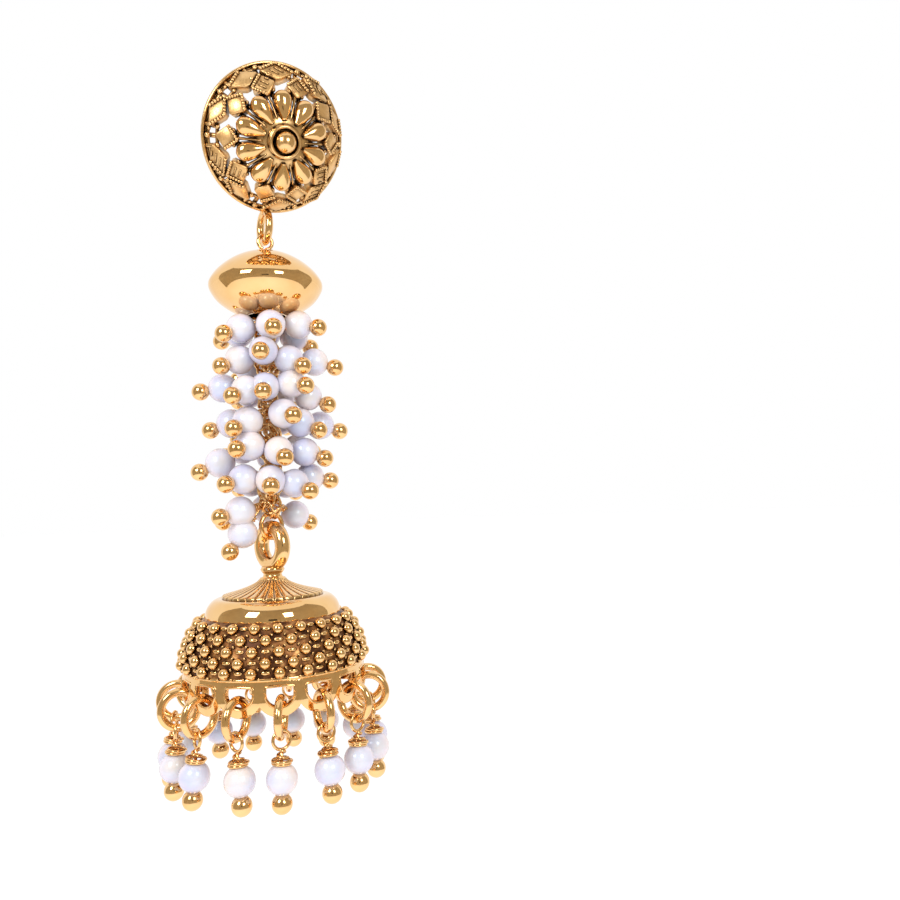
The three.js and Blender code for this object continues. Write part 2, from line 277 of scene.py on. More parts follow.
def add_range(tree, value, low, high, to_low, to_high):
    """Maps the values from low to high onto another range."""
    node = tree.nodes.new("ShaderNodeMapRange")
    limits = {"From Min": low, "From Max": high, "To Min": to_low, "To Max": to_high}
    for name, number in limits.items():
        node.inputs[name].default_value = number
    tree.links.new(value, node.inputs["Value"])
    return node.outputs["Result"]


def add_mix(tree, factor, first, second):
    """A blend from the first colour to the second. Each is a tuple or a node's output."""
    node = tree.nodes.new("ShaderNodeMix")
    node.data_type = "RGBA"
    tree.links.new(factor, node.inputs[0])
    for socket, colour in ((node.inputs[6], first), (node.inputs[7], second)):
        if isinstance(colour, tuple):
            socket.default_value = (*colour, 1)
        else:
            tree.links.new(colour, socket)
    return node.outputs[2]


def add_bump(tree, shader, height, distance, strength):
    """Fine relief, its height in mm."""
    bump = tree.nodes.new("ShaderNodeBump")
    bump.inputs["Distance"].default_value = distance * MM
    bump.inputs["Strength"].default_value = strength
    tree.links.new(height, bump.inputs["Height"])
    tree.links.new(bump.outputs["Normal"], shader.inputs["Normal"])


GOLD = (0.95, 0.62, 0.29)
RICHER = (0.95, 0.88, 0.78)  # what the plating's deeper tone keeps of each channel
PATINA = (0.055, 0.022, 0.008)
GROUND_TONES = [(0.40, (0.075, 0.026, 0.009)), (0.56, (0.30, 0.125, 0.04)),
                (0.70, (0.70, 0.38, 0.14))]
PEARL_TONES = [(0.34, (0.60, 0.61, 0.75)), (0.5, (0.70, 0.68, 0.74)), (0.66, (0.78, 0.70, 0.65))]


def gold(name, rough, grain, patina=0.0, reach=0.5, brushed=None):
    """Gold plating whose tone and gloss vary a little.

    Dark patina lies in recesses up to the reach in mm, if asked. The grain is its relief in mm.
    """
    material, tree, shader, where = nodes_of(name)
    tone = add_noise(tree, where, 450, 4)
    richer = tuple(channel * share for channel, share in zip(GOLD, RICHER))
    plating = add_ramp(tree, tone, [(0.3, richer), (0.7, GOLD)])
    fine = add_noise(tree, where, 3200, 4, stretch=brushed)
    if patina:
        occlusion = tree.nodes.new("ShaderNodeAmbientOcclusion")
        occlusion.inputs["Distance"].default_value = reach * MM
        occlusion.samples = 6
        clear = add_range(tree, occlusion.outputs["AO"], 1 - patina, 1.0, 0.0, 1.0)
        plating = add_mix(tree, clear, PATINA, plating)
    tree.links.new(plating, shader.inputs["Base Color"])
    shader.inputs["Metallic"].default_value = 1.0
    spread = add_range(tree, fine, 0.3, 0.7, rough * 0.75, rough * 1.35)
    tree.links.new(spread, shader.inputs["Roughness"])
    add_bump(tree, shader, fine, grain, 0.6)
    return material


def patina_ground(name):
    """The oxidised brown ground under the granules, worn to gold here and there."""
    material, tree, shader, where = nodes_of(name)
    blotch = add_noise(tree, where, 900, 5)
    tree.links.new(add_ramp(tree, blotch, GROUND_TONES), shader.inputs["Base Color"])
    shader.inputs["Metallic"].default_value = 0.75
    shader.inputs["Roughness"].default_value = 0.42
    add_bump(tree, shader, blotch, 0.12, 0.7)
    return material


def pearl_material(name):
    """Imitation pearl: a pale lustre, from lilac to cream, under a clear coat."""
    material, tree, shader, where = nodes_of(name)
    cast = add_noise(tree, where, 260, 2)
    tree.links.new(add_ramp(tree, cast, PEARL_TONES), shader.inputs["Base Color"])
    shader.inputs["Roughness"].default_value = 0.32
    shader.inputs["Specular IOR Level"].default_value = 0.9
    shader.inputs["Coat Weight"].default_value = 1.0
    shader.inputs["Coat Roughness"].default_value = 0.2
    shader.inputs["Coat IOR"].default_value = 1.6
    shader.inputs["Subsurface Weight"].default_value = 0.25
    shader.inputs["Subsurface Radius"].default_value = (1.0, 0.8, 0.8)
    shader.inputs["Subsurface Scale"].default_value = 0.6 * MM
    shader.inputs["Thin Film Thickness"].default_value = 330
    shader.inputs["Thin Film IOR"].default_value = 1.45
    add_bump(tree, shader, add_noise(tree, where, 1800, 2), 0.006, 0.5)
    return material


MIRROR = gold("mirror_gold", rough=0.05, grain=0.003)
WIRE = gold("wire_gold", rough=0.13, grain=0.008)
POLISHED = gold("polished_gold", rough=0.12, grain=0.01, patina=0.35, reach=0.35)
BRUSHED = gold("brushed_gold", rough=0.36, grain=0.03, patina=0.5, reach=0.5, brushed=(6, 1, 1))
CAST = gold("cast_gold", rough=0.2, grain=0.015, patina=0.6, reach=0.5)
GROUND = patina_ground("patina_ground")
PEARL = pearl_material("pearl")


def finish(thing, body, slot, *replaced):
    """Gives a piece its body, and hides the CAD nodes that it replaces. The slot is not used."""
    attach(thing, body)
    if replaced:
        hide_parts(*replaced)
    return thing


# ---------------------------------------------------------------- stud
STUD_RADIUS = 7.7
STUD_HEIGHT = 4.1
CAP_RADIUS = 7.42
CAP_RISE = 3.6
SPHERE = (CAP_RADIUS ** 2 + CAP_RISE ** 2) / (2 * CAP_RISE)
PETALS = 10
FIRST_PETAL = 96
PETAL_STEP = 360 / PETALS
PETAL = {"length": 3.1, "width": 1.95, "height": 0.85, "depth": 1.0}
PETAL_REACH = 3.5
PETAL_WIDEST = 0.68  # share of a petal's length at which it is widest
PETAL_NECK = 0.22  # share of its width that it keeps at its inner end
INNER_TILE = {"reach": 5.5, "length": 2.5, "width": 2.5}
OUTER_TILE = {"reach": 6.6, "length": 2.1, "width": 3.6}
TILE_DEPTH = 1.05
TILE_LIFT = 0.22
TILE_BEVEL = 0.09
TILE_CUT = 0.12  # share of the half length that each corner loses
MILGRAIN_BEAD = 0.2
MILGRAIN_COUNT = 6
MILGRAIN_INSET = 0.46  # its line's corners, as a share of the tile's length and width
TILE_RIBS = (-0.3, -0.1, 0.1, 0.3)
TILE_RIB_WIRE = 0.09
STUD_RIB = {"from": 2.2, "to": 4.7, "depth": 0.32, "middle_rise": 0.22, "fan": 2.4}
# Which edges of a tile carry milgrain, taken in turn.
MILGRAIN_EDGES = ((0, 1), (2, 3), (1, 2), (3, 0), (0,), (1, 2, 3))
# Radius and height of the flange round the stud, with its inner step.
RIM_ROWS = [(6.95, 0.0), (7.7, 0.0), (7.7, 0.28), (7.62, 0.38), (7.42, 0.4), (7.34, 0.2),
            (7.12, 0.2), (7.1, 0.7), (7.0, 0.78), (6.9, 0.7)]
# The cup's radius and height above the dome's top.
CUP_ROWS = [(1.2, -0.1), (1.42, 0.3), (1.62, 0.3), (1.75, -0.1), (1.95, -0.35)]
CUP_RING = {"radius": 1.5, "wire": 0.2, "lift": 0.3}
CUP_BALL = {"radius": 1.12, "lift": 0.38}
BOSS_ROWS = [(0, 3.2), (2.6, 3.0), (3.1, 3.2), (2.7, 3.6), (1.9, 3.95), (1.3, 3.9), (0, 3.8)]
# Reach, turn from the petal and radius of each granule where the tiles and the rim meet.
STUD_GRANULES = ((6.35, 10.0, 0.26), (6.35, -10.0, 0.26), (7.15, 18.0, 0.3), (7.05, 12.5, 0.2),
                 (4.95, 9.5, 0.22), (4.95, -9.5, 0.22))
# Inner and outer reach, turn from the petal and depth under the dome of each strut.
STRUTS = ((4.3, 7.2, PETAL_STEP / 2, 0.75), (6.2, 7.3, 9.5, 0.5), (6.2, 7.3, -9.5, 0.5))
STRUT_WIRE = 0.26
HOOPS = (4.45, 6.25)  # reach of the two hoops under the tiles
HOOP_WIRE = 0.2
HOOP_DROP = 0.62
LEAN = turn_x(math.pi / 2 + DROOP)
chance = np.random.default_rng(7)


def stud_top(radius):
    """Height of the stud's dome at a radius."""
    return STUD_HEIGHT - SPHERE + math.sqrt(SPHERE ** 2 - radius ** 2)


def on_stud(radius, azimuth, lift=0.0, spin=0.0):
    """The turn and place that lay a shape on the stud's dome, its X pointing outward."""
    slope = math.asin(radius / SPHERE)
    matrix = turn_z(azimuth) @ turn_y(slope) @ turn_z(spin)
    origin = polar(radius, azimuth, stud_top(radius)) + turn_z(azimuth) @ turn_y(slope) @ (UP * lift)
    return matrix, origin


def petal(length, width, height, depth, rows=22, sides=24):
    """A drop-shaped petal along X, narrow at its inner end and round at its outer end."""
    verts = []
    for s in np.linspace(0.0, 1.0, rows):
        s = min(max(s, 0.004), 0.996)
        if s > PETAL_WIDEST:
            share = math.sqrt(1 - ((s - PETAL_WIDEST) / (1 - PETAL_WIDEST)) ** 2)
        else:
            swell = math.sin(math.pi / 2 * s / PETAL_WIDEST) ** 1.25
            share = PETAL_NECK + (1 - PETAL_NECK) * swell
        rise = height * share ** 0.75
        for step in range(sides):
            angle = TAU * step / sides
            across = width / 2 * share * math.cos(angle)
            lift = math.sin(angle)
            tall = rise * lift if lift > 0 else -depth * abs(lift) ** 0.3
            verts.append(((s - 0.5) * length, across, tall))
    faces = []
    for row in range(rows - 1):
        for step in range(sides):
            after = (step + 1) % sides
            faces.append((row * sides + step, row * sides + after,
                          (row + 1) * sides + after, (row + 1) * sides + step))
    faces.append(tuple(range(sides)))
    faces.append(tuple((rows - 1) * sides + step for step in range(sides))[::-1])
    return np.array(verts), [face[::-1] for face in faces]


def lozenge(length, width):
    """A lozenge block, corner to corner along X and Y, with a bevelled flat top at z = 0."""
    rows = [(1.0, -TILE_DEPTH), (1.02, -TILE_BEVEL * 1.6), (0.97, -TILE_BEVEL * 0.5), (0.90, 0.0)]
    outline = []
    for corner in range(4):
        angle = corner * math.pi / 2
        tip = np.array([math.cos(angle), math.sin(angle)])
        side = np.array([-tip[1], tip[0]])
        outline.append(tip * (1 - TILE_CUT) - side * TILE_CUT)
        outline.append(tip * (1 - TILE_CUT) + side * TILE_CUT)
    outline = np.array(outline) * [length / 2, width / 2]
    verts = [(x * share, y * share, z) for share, z in rows for x, y in outline]
    count = len(outline)
    faces = []
    for row in range(len(rows) - 1):
        for step in range(count):
            after = (step + 1) % count
            faces.append((row * count + step, row * count + after,
                          (row + 1) * count + after, (row + 1) * count + step))
    faces.append(tuple(range(count))[::-1])
    faces.append(tuple((len(rows) - 1) * count + step for step in range(count)))
    return np.array(verts), faces


def milgrain(shape, length, width, edges, matrix, origin):
    """A row of small beads on the given top edges of a lozenge."""
    tips = []
    for corner in range(4):
        angle = corner * math.pi / 2
        tips.append(np.array([math.cos(angle) * length, math.sin(angle) * width, 0])
                    * MILGRAIN_INSET)
    verts, faces = ball(MILGRAIN_BEAD, 10, 6)
    for edge in edges:
        start, end = tips[edge], tips[(edge + 1) % 4]
        for share in np.linspace(0.06, 0.94, MILGRAIN_COUNT):
            spot = start + (end - start) * share
            shape.add(verts, faces, matrix, origin + matrix @ spot)


def build_stud():
    """The pierced dome: its flange and casting, its ten petals and its two rings of tiles."""
    cast = Shape()
    petals = Shape()
    tiles = Shape()
    cast.add(*lathe(RIM_ROWS, 96, closed=True))
    top = UP * STUD_HEIGHT
    cast.add(*ball(CUP_BALL["radius"], 40, 20), origin=top + UP * CUP_BALL["lift"])
    cast.add(*ring(CUP_RING["radius"], CUP_RING["wire"], 64, 14), origin=top + UP * CUP_RING["lift"])
    cast.add(*lathe(CUP_ROWS, 64), origin=top)
    cast.add(*lathe(BOSS_ROWS, 48))
    for index in range(PETALS):
        azimuth = FIRST_PETAL + index * PETAL_STEP
        verts, faces = petal(**PETAL)
        petals.add(verts, faces, *on_stud(PETAL_REACH, azimuth, 0.0, chance.uniform(-3, 3)))
        half = azimuth + PETAL_STEP / 2
        build_stud_ribs(cast, half)
        build_tile(tiles, cast, INNER_TILE, half, index)
        build_tile(tiles, cast, OUTER_TILE, azimuth + chance.uniform(-3, 3), index + 3)
        for reach, turn, size in STUD_GRANULES:
            cast.add(*ball(size, 14, 8), origin=polar(reach, azimuth + turn, stud_top(reach) - 0.05))
        for inner, outer, turn, drop in STRUTS:
            path = [polar(r, azimuth + turn, stud_top(r) - drop) for r in np.linspace(inner, outer, 6)]
            cast.add(*tube(path, STRUT_WIRE, 8))
    for reach in HOOPS:
        cast.add(*ring(reach, HOOP_WIRE, 90, 8), origin=UP * (stud_top(reach) - HOOP_DROP))
    finish(cast.make("stud_casting", CAST, LEAN), "stud", "antique_gold", "stud_dome")
    finish(petals.make("stud_petals", POLISHED, LEAN), "stud", "antique_gold", "stud_dome")
    finish(tiles.make("stud_tiles", BRUSHED, LEAN), "stud", "antique_gold", "stud_dome")


def build_stud_ribs(cast, azimuth):
    """Three fine ribs that run out between two petals and fan towards the tiles."""
    for side in (-1, 0, 1):
        path = []
        rise = STUD_RIB["middle_rise"] if side == 0 else 0
        for r in np.linspace(STUD_RIB["from"], STUD_RIB["to"], 9):
            spread = side * STUD_RIB["fan"] * (r - 1.6)
            path.append(polar(r, azimuth + spread, stud_top(r) - STUD_RIB["depth"] + rise))
        cast.add(*tube(path, np.linspace(0.1, 0.17, 9), 8))


def build_tile(tiles, cast, kind, azimuth, index):
    """One raised tile: a brushed block, beaded on some edges, and every third one ribbed."""
    size = chance.uniform(0.94, 1.05)
    matrix, origin = on_stud(kind["reach"], azimuth + chance.uniform(-1.5, 1.5),
                             TILE_LIFT + chance.uniform(-0.05, 0.12), chance.uniform(-9, 9))
    matrix = matrix @ turn_y(math.radians(chance.uniform(-7, 7)))
    matrix = matrix @ turn_x(math.radians(chance.uniform(-7, 7)))
    length, width = kind["length"] * size, kind["width"] * size
    tiles.add(*lozenge(length, width), matrix, origin)
    milgrain(cast, length, width, MILGRAIN_EDGES[index % 6], matrix, origin)
    if index % 3 == 0:
        for across in TILE_RIBS:
            half = (0.5 - abs(across)) * 0.62
            line = [matrix @ np.array([across * length * 0.7 + k * half * length * 0.5,
                                       -across * width * 0.7 + k * half * width * 0.5, 0.02]) + origin
                    for k in (-1, 0, 1)]
            tiles.add(*tube(line, TILE_RIB_WIRE, 6))


LOOP_OUTER = 2.08
LOOP_WIRE = 0.43


def build_stud_loop():
    """The loop soldered under the stud, with two short stems that make its tab."""
    loop = Shape()
    middle = HANG + UP * (STUD_LOW + LOOP_OUTER)
    reach = LOOP_OUTER - LOOP_WIRE
    loop.add(*ring(reach, LOOP_WIRE, 64, 16), turn_z(90) @ UPRIGHT, middle)
    edge = LEAN @ np.array([0, -STUD_RADIUS + 0.2, 0.2])
    for side in (-1, 1):
        start = edge + np.array([side * 0.42, -0.1, 0.35])
        end = middle + np.array([side * 0.12, -0.25, reach - 0.1])
        path = [start + (end - start) * share for share in np.linspace(0, 1, 6)]
        loop.add(*tube(path, np.linspace(0.5, 0.4, 6), 12))
    finish(loop.make("stud_loop", WIRE), "stud", "antique_gold")


POST_TIP = -10.5
# Radius and height of the post, from its tip past its notch to the pad, in the stud's own frame.
POST_ROWS = [(0, POST_TIP), (0.25, POST_TIP + 0.05), (0.42, POST_TIP + 0.35), (0.45, POST_TIP + 0.9),
             (0.45, POST_TIP + 1.6), (0.36, POST_TIP + 1.8), (0.36, POST_TIP + 2.1),
             (0.45, POST_TIP + 2.3), (0.45, 2.0), (0.62, 2.26), (2.1, 2.3), (2.2, 2.4), (2.2, 2.7),
             (2.1, 2.8), (0, 2.8)]


def build_post():
    """The plain post, notched near its tip, on the round pad behind the flower."""
    post = Shape()
    post.add(*lathe(POST_ROWS, 40))
    finish(post.make("post_and_pad", WIRE, LEAN), "stud", "plain_gold", "ear_post")


# ---------------------------------------------------------------- drop: pin, bead and chain
EYE_RADIUS = 0.79
EYE_WIRE = 0.2


def eye(middle, start, end, count):
    """Points round an eye of the pin in the XZ plane, its angles in degrees from the top."""
    angles = np.linspace(math.radians(start), math.radians(end), count)
    return [np.array([EYE_RADIUS * math.sin(a), 0, middle + EYE_RADIUS * math.cos(a)]) for a in angles]


def build_eye_pin():
    """One wire through the bead, bent into an eye at each end."""
    pin = Shape()
    upper = EYE_TOP - EYE_RADIUS - EYE_WIRE
    lower = EYE_LOW + EYE_RADIUS + EYE_WIRE
    path = eye(upper, -160, 176, 44)
    path[-1:] = [np.array([0, 0.0, upper - EYE_RADIUS - 0.12])]
    shank = np.linspace(upper - EYE_RADIUS - 0.4, lower + EYE_RADIUS + 0.3, 10)
    path += [np.array([0, 0, z]) for z in shank]
    path += eye(lower, 8, 330, 40)
    pin.add(*tube(path, EYE_WIRE, 12), origin=HANG)
    finish(pin.make("eye_pin_wire", WIRE), "drop", "plain_gold", "eye_pin")


# Radius and height of the bead's outside, from its crown to its lower mouth.
BEAD_ROWS = [(0.46, 3.74), (0.9, 3.78), (1.9, 3.62), (3.1, 3.15), (4.3, 2.42), (5.35, 1.5),
             (6.0, 0.62), (6.2, 0), (6.02, -0.68), (5.35, -1.65), (4.4, -2.42), (3.3, -3.05),
             (2.45, -3.38), (2.3, -3.4)]
BEAD_MIDDLE = BEAD_TOP - 3.85
BEAD_WALL = 0.35


def build_bead():
    """The hollow saucer bead, open at its foot."""
    bead = Shape()
    outer = smooth_line(BEAD_ROWS, 90)
    inner = []
    for r, z in smooth_line(BEAD_ROWS[1:-1], 40)[::-1]:
        shrink = 1 - BEAD_WALL / math.hypot(r, z)
        inner.append((r * shrink, z * shrink))
    rows = np.vstack([outer, [(2.12, -3.44), (1.98, -3.36)], inner])
    bead.add(*lathe(rows, 128, closed=True), origin=HANG + UP * BEAD_MIDDLE)
    finish(bead.make("saucer_bead_shell", MIRROR), "drop", "mirror_gold", "saucer_bead")


LINK_HALF = 0.45  # half of a link's straight side
LINK_RADIUS = 0.58
LINK_WIRE = 0.19


def build_chain():
    """Fine oval links, each turned a quarter from the last, along the cluster's middle."""
    chain = Shape()
    half, radius, wire = LINK_HALF, LINK_RADIUS, LINK_WIRE
    link = []
    for a in np.linspace(0, TAU, 28, endpoint=False):
        link.append((radius * math.cos(a), 0, radius * math.sin(a) + math.copysign(half, math.sin(a))))
    verts, faces = tube(link, wire, 8, closed=True)
    pitch = 2 * (half + radius) - 2 * wire
    z = CHAIN_HIGH + 0.2
    index = 0
    while z - 2 * (half + radius) > CHAIN_LOW - 0.6:
        chain.add(verts, faces, turn_z(90 * index + 20), HANG + UP * (z - half - radius))
        z -= pitch
        index += 1
    finish(chain.make("chain_links", WIRE), "drop", "plain_gold", "cluster_chain")


END_LINK_RADIUS = 1.35
END_LINK_WIRE = 0.24


def build_end_link():
    """The round link at the chain's foot that the bell's ring hangs on."""
    link = Shape()
    across = turn_z(RING_AZIMUTH + 90) @ UPRIGHT
    link.add(*ring(END_LINK_RADIUS, END_LINK_WIRE, 56, 12), across, LINK_CENTRE)
    finish(link.make("end_link_wire", WIRE), "drop", "plain_gold", "end_link")


# ---------------------------------------------------------------- pearl cluster
# For each tier, where its pins point and how far past the usual reach the long ones stand out.
TIERS = [
    {"pins": (-52, 6, 66, 120, 180, 240), "long": (0, 0, 0, 0, 0, 0)},
    {"pins": (-58, -7, 40, 86, 145, 215), "long": (0, 0, 0, 1.5, 0, 0.3)},
    {"pins": (-84, -38, -6, 40, 78, 150, 215), "long": (1.2, 0.3, -0.3, 0, 1.0, 0, 0)},
    {"pins": (-100, -40, 24, 64, 102, 160, 215), "long": (0.6, 0, 0, 0.2, 2.2, 0, 0.6)},
    {"pins": (-86, -34, 15, 72, 125, 180, 235), "long": (2.0, 0, 0, 0.4, 0, 0, 0)},
    {"pins": (-50, 0, 46, 96, 150, 215), "long": (0, -0.2, 0, 0.6, 0, 0.2)},
    {"pins": (-62, 130, 190, 245), "long": (0, 0, 0, 0)},
]
FIRST_TIER = -20.2  # height of the first tier's pearls
TIER_PITCH = 3.35
REACH = 3.75  # from the chain to a pearl's middle
DIP = 17  # degrees that a pin falls outward
DIP_SPREAD = 7
PEARL_RADIUS = 1.52
PIN_BALL = 0.94
BALL_REACH = 2.35  # from a pearl's middle to the middle of its gold ball
PIN_WIRE = 0.13
PIN_START = 1.55  # how near the chain a pin's wire may start
WRAP = {"radius": 0.26, "wire": 0.12, "turns": 2.5, "pitch": 0.27, "back": 0.72}
HOOK = {"radius": 0.52, "back": 0.75}
TANGLE_WIRE = 0.15
# Radius and height of the little stem between a pearl and its ball.
STEM_ROWS = [(0.14, 0), (0.3, 0.05), (0.3, 0.2), (0.2, 0.3), (0.2, 0.5)]
LAST_PIN = {"azimuth": -66, "dip": 52, "reach": 5.4, "rise": 1.0}
TANGLE = 9  # small rings of wire round the chain in each tier


def build_head_pin(pearls, metal, root, azimuth, dip, reach):
    """A pearl on a wire with a gold ball outside it, wrapped round the chain inside it."""
    fall = math.radians(dip)
    direction = polar(math.cos(fall), azimuth, -math.sin(fall))
    matrix = facing(direction)
    base = HANG + root
    size = PEARL_RADIUS * chance.uniform(1.0, 1.06)
    pearls.add(*ball(size, 40, 20), matrix, base + direction * reach)
    metal.add(*ball(PIN_BALL, 28, 14), matrix, base + direction * (reach + BALL_REACH))
    metal.add(*lathe(STEM_ROWS, 14), matrix, base + direction * (reach + size - 0.06))
    start = min(PIN_START, reach - size - 0.3)
    shaft = [base + direction * d for d in np.linspace(start - 0.3, reach + BALL_REACH, 6)]
    metal.add(*tube(shaft, PIN_WIRE, 8))
    wraps = circle(WRAP["radius"], 42, 0, WRAP["turns"] * TAU, WRAP["pitch"])
    metal.add(*tube(wraps, WRAP["wire"], 6), matrix, base + direction * (reach - size - WRAP["back"]))
    tilt = facing(np.cross(direction, UP) * 0.6 + UP * 0.8)
    metal.add(*ring(HOOK["radius"], PIN_WIRE, 26, 8), tilt, base + direction * (start - HOOK["back"]))


def build_cluster():
    """Seven tiers of pearls round the chain, each with a tangle of small wire rings inside it."""
    rise = REACH * math.tan(math.radians(DIP))
    for index, tier in enumerate(TIERS):
        pearls = Shape()
        metal = Shape()
        root = UP * (FIRST_TIER - index * TIER_PITCH + rise)
        for pin, (azimuth, extra) in enumerate(zip(tier["pins"], tier["long"])):
            dip = DIP + DIP_SPREAD * math.sin(2.4 * pin + 1.9 * index + 0.6)
            build_head_pin(pearls, metal, root, FACING + azimuth, dip, REACH + extra)
        if index == len(TIERS) - 1:
            high = root + UP * LAST_PIN["rise"]
            build_head_pin(pearls, metal, high, FACING + LAST_PIN["azimuth"], LAST_PIN["dip"],
                           LAST_PIN["reach"])
        for turn in range(TANGLE):
            azimuth = 360 / TANGLE * turn
            lean = facing(polar(1, azimuth + chance.uniform(-20, 20), chance.uniform(-1.2, 1.2)))
            middle = root + polar(chance.uniform(0.3, 0.75), azimuth, chance.uniform(-2.2, 1.4))
            metal.add(*ring(chance.uniform(0.75, 1.15), TANGLE_WIRE, 26, 8), lean, HANG + middle)
        node = f"pearl_tier_{index + 1}"
        finish(pearls.make(f"tier_pearls_{index + 1}", PEARL), "drop", "pearl", node)
        finish(metal.make(f"tier_pins_{index + 1}", WIRE), "drop", "plain_gold", node)


# ---------------------------------------------------------------- jhumka bell
RING_OUTER = 2.8
RING_WIRE = 0.82
RING_Z = RING_TOP - RING_OUTER
# Radius and height of the spool under the ring.
SPOOL_ROWS = [(0.0, -46.0), (1.15, -46.15), (1.3, -46.45), (1.18, -46.7), (0.98, -46.95),
              (1.05, -47.2), (1.35, -47.35), (1.45, -47.5), (1.3, -47.65), (0.0, -47.7)]
# The cone, the skirt under its edge, and the collar round it.
CONE_ROWS = [(1.3, -47.3), (1.75, -47.75), (2.7, -48.2), (4.0, -48.62), (5.3, -48.95)]
CONE_SKIRT = [(5.36, -49.05), (5.36, -49.45)]
COLLAR_ROWS = [(5.2, -49.5), (5.45, -49.28), (5.9, -49.3), (6.35, -49.5), (6.8, -49.95),
               (7.08, -50.5), (7.2, -51.1), (7.1, -51.4)]
# The granulated wall: where its granules stand, the shoulder above it and its inside.
WALL = [(7.2, -51.1), (7.85, -51.6), (8.4, -52.3), (8.9, -53.2), (9.25, -54.1), (9.52, -55.2),
        (9.68, -56.4)]
WALL_SHOULDER = [(0.0, -49.45), (5.1, -49.6), (6.9, -50.6)]
WALL_INSIDE = [(9.15, -56.6), (8.6, -54.4), (7.7, -52.6), (6.3, -50.9), (4.6, -50.1), (0.0, -49.6)]
WALL_DEPTH = 0.12  # how far the brown ground lies behind the granules' line
RIBS = 34
RIB_STEPS = 10  # mesh columns for each rib
GROOVE_WIDTH = 0.42
GROOVE_DEPTH = 0.12
GROOVE_DEEPER = 0.16  # what the groove gains by the cone's edge


def wall_radius(z):
    """Radius of the wall at a height."""
    rows = np.array(WALL)[::-1]
    return float(np.interp(z, rows[:, 1], rows[:, 0]))


def finish_bell(shape, name, material, slot, *replaced):
    """Moves a shape built round Z onto the plumb line and makes it a piece of the jhumka."""
    shape.parts = [points + HANG for points in shape.parts]
    return finish(shape.make(name, material), "jhumka", slot, *replaced)


def build_bell_top():
    """The big ring that the bell hangs by, on its spool."""
    top = Shape()
    top.add(*ring(RING_OUTER - RING_WIRE, RING_WIRE, 72, 24), turn_z(RING_AZIMUTH) @ UPRIGHT,
            UP * RING_Z)
    top.add(*lathe(SPOOL_ROWS, 40))
    finish_bell(top, "bell_ring", WIRE, "plain_gold")


def build_cone():
    """The ribbed cone, rising steeply to the stem, and the polished collar round it."""
    cone = Shape()
    segments = RIBS * RIB_STEPS
    rows = np.vstack([smooth_line(CONE_ROWS, 16), CONE_SKIRT])
    verts = []
    for row, (radius, height) in enumerate(rows):
        share = row / (len(rows) - 1)
        deep = GROOVE_DEPTH + GROOVE_DEEPER * share
        for step in range(segments):
            angle = TAU * step / segments
            rib = abs(math.sin(angle * RIBS / 2)) * radius
            lift = -deep * math.exp(-(rib / GROOVE_WIDTH) ** 2) - 0.05 * (1 - rib / radius)
            verts.append((radius * math.cos(angle), radius * math.sin(angle), height + lift))
    faces = []
    for row in range(len(rows) - 1):
        for step in range(segments):
            after = (step + 1) % segments
            faces.append((row * segments + step, (row + 1) * segments + step,
                          (row + 1) * segments + after, row * segments + after))
    cone.add(verts, faces)
    finish_bell(cone, "bell_cone", CAST, "antique_gold")
    collar = Shape()
    collar.add(*lathe(smooth_line(COLLAR_ROWS, 40), 128))
    finish_bell(collar, "bell_collar", MIRROR, "mirror_gold")


GRANULE_ROWS = [-51.72, -52.72, -53.75, -54.78, -55.72]  # heights
GRANULES = 22  # in a row
GRANULE_RADIUS = 0.585
SMALL_GRANULE = 0.17
BAR = (0.2, 0.5, 0.24)  # half sizes of the low bar between two granules


def build_wall():
    """The brown wall, its five rows of granules, and the small grains and bars between them."""
    wall = Shape()
    outer = smooth_line([(r - WALL_DEPTH, z) for r, z in WALL], 40)
    inner = smooth_line(WALL_INSIDE, 40)
    inner[-1][0] = 0
    wall.add(*lathe(np.vstack([WALL_SHOULDER, outer, inner]), 96))
    finish_bell(wall, "bell_wall", GROUND, "antique_gold", "jhumka_bell")
    grains = Shape()
    big = ball(GRANULE_RADIUS, 24, 12)
    small = ball(SMALL_GRANULE, 10, 6)
    bar = ball(1.0, 16, 8)
    step = 360 / GRANULES
    for row, z in enumerate(GRANULE_ROWS):
        radius = wall_radius(z)
        shift = step / 2 * (row % 2)
        for index in range(GRANULES):
            azimuth = FIRST_RING + index * step + shift
            grains.add(*big, origin=polar(radius + 0.06, azimuth, z))
            for side in (-1, 1):
                low = z - 0.52
                beside = azimuth + side * step * 0.27
                grains.add(*small, origin=polar(wall_radius(low) + 0.02, beside, low))
            between = azimuth + step / 2
            grains.add(*bar, turn_z(between) @ turn_y(-0.25) @ np.diag(BAR),
                       polar(radius - 0.1, between, z + 0.05))
    finish_bell(grains, "bell_granules", POLISHED, "antique_gold")


BAND_TOP = -56.4
BAND_RADIUS = 9.7
BAND_THICK = 0.55
BAND_CROWN = 0.3  # how far its top and foot lie behind its middle
BAND_BEVEL = 0.1
WIRE_ABOVE_BAND = 0.2
FRAME_WIRE = 0.13
WINDOW_HALF = 1.35
WINDOW_TOP = -57.1
WINDOW_FOOT = -59.05
ARCH_Z = WINDOW_FOOT + WINDOW_HALF  # centre of the window's arch and of the scallop
SCALLOP = WINDOW_HALF + 1.0
FAR = 1e9
TURN = 0.07  # radians between the band's mesh strips


def window_edge(angle):
    """Distance from the arch's centre to the window's outline. An angle of 0 is straight down."""
    c, s = math.cos(angle), math.sin(angle)
    if c >= 0:
        return WINDOW_HALF
    reach = WINDOW_HALF / abs(s) if abs(s) > 1e-6 else FAR
    return min(reach, (WINDOW_TOP - ARCH_Z) / -c)


def cell_edge(angle, half):
    """Distance to the outline of the band's cell: its sides, its top and its scallop."""
    c, s = math.cos(angle), math.sin(angle)
    reach = half / abs(s) if abs(s) > 1e-6 else FAR
    if c < 0:
        return min(reach, (BAND_TOP - ARCH_Z) / -c)
    return min(reach, SCALLOP)


